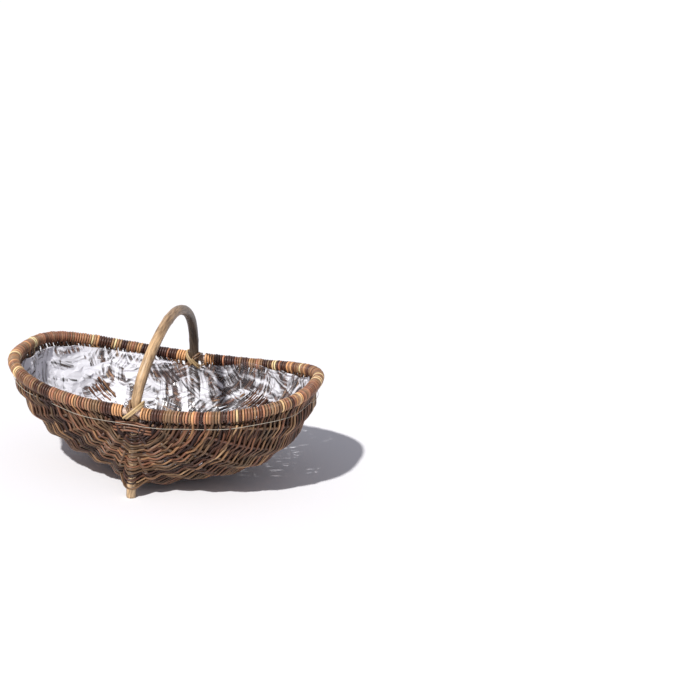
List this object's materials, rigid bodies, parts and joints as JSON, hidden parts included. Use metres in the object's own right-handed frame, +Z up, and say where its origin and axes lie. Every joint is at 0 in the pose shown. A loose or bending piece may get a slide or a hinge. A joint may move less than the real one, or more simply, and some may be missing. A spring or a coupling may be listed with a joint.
{
  "type": "wicker flower basket",
  "caption": "Oval saddle-rimmed wicker basket with a bent rod handle whose ends are its feet, ribs, woven body, wrapped rim, crossed lashings and a clear film liner.",
  "frame": {"origin": "on the floor, below the middle of the bounding box", "axes": "+Z up, +X along the basket's long side, +Y from the ear seen nearest in the picture to the other one"},
  "size_m": [0.5624, 0.3696, 0.3005],
  "materials": {
    "handle_wood": "bare rod, satin",
    "rim_wood": "peeled rod, satin",
    "rim_wrap": "bark on, satin",
    "rib_wood": "bark on, matte",
    "weave": "bark on, satin",
    "skein_dark": "split rod, satin",
    "skein_pale": "split peeled rod, satin",
    "film": "clear crinkled film",
    "thread": "thin thread"
  },
  "bodies": {
    "root": {"handle": "handle_wood", "lashing_front_dark": "skein_dark", "lashing_front_pale": "skein_pale", "lashing_rear_dark": "skein_dark", "lashing_rear_pale": "skein_pale", "liner": "film", "liner_thread": "thread", "rib_keel": "rib_wood", "rib_left_1": "rib_wood", "rib_left_2": "rib_wood", "rib_left_3": "rib_wood", "rib_left_4": "rib_wood", "rib_left_5": "rib_wood", "rib_left_6": "rib_wood", "rib_right_1": "rib_wood", "rib_right_2": "rib_wood", "rib_right_3": "rib_wood", "rib_right_4": "rib_wood", "rib_right_5": "rib_wood", "rib_right_6": "rib_wood", "rim_hoop": "rim_wood", "rim_wrap_left": "rim_wrap", "rim_wrap_right": "rim_wrap", "weave_front_1": "weave", "weave_front_2": "weave", "weave_front_3": "weave", "weave_rear_1": "weave", "weave_rear_2": "weave", "weave_rear_3": "weave"}
  },
  "joints": []
}
